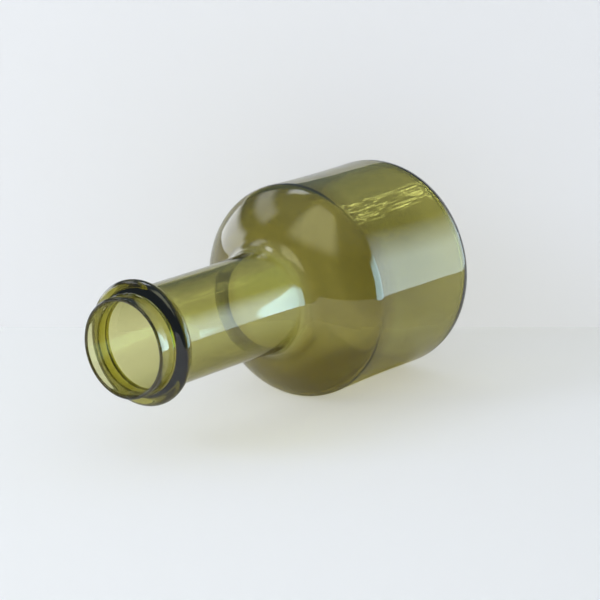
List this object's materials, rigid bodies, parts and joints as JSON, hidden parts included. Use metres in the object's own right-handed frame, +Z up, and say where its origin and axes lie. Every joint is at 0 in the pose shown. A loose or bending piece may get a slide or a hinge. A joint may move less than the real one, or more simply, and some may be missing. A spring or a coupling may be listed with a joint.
{
  "type": "decorative glass bottle",
  "caption": "Empty olive-green glass bottle lying on its side, with a bead round its open mouth, a straight neck, a domed shoulder and a thick base pushed up inside.",
  "frame": {"origin": "on the surface that the bottle lies on, under the middle of its length and width", "axes": "+X along the bottle from the mouth to the base, +Y across it, +Z up"},
  "size_m": [0.224, 0.1174, 0.1172],
  "materials": {
    "olive_glass": "clear olive-green glass, smooth and glossy, with fire-polished edges"
  },
  "bodies": {
    "root": {"glass_bottle": "olive_glass"}
  },
  "joints": []
}
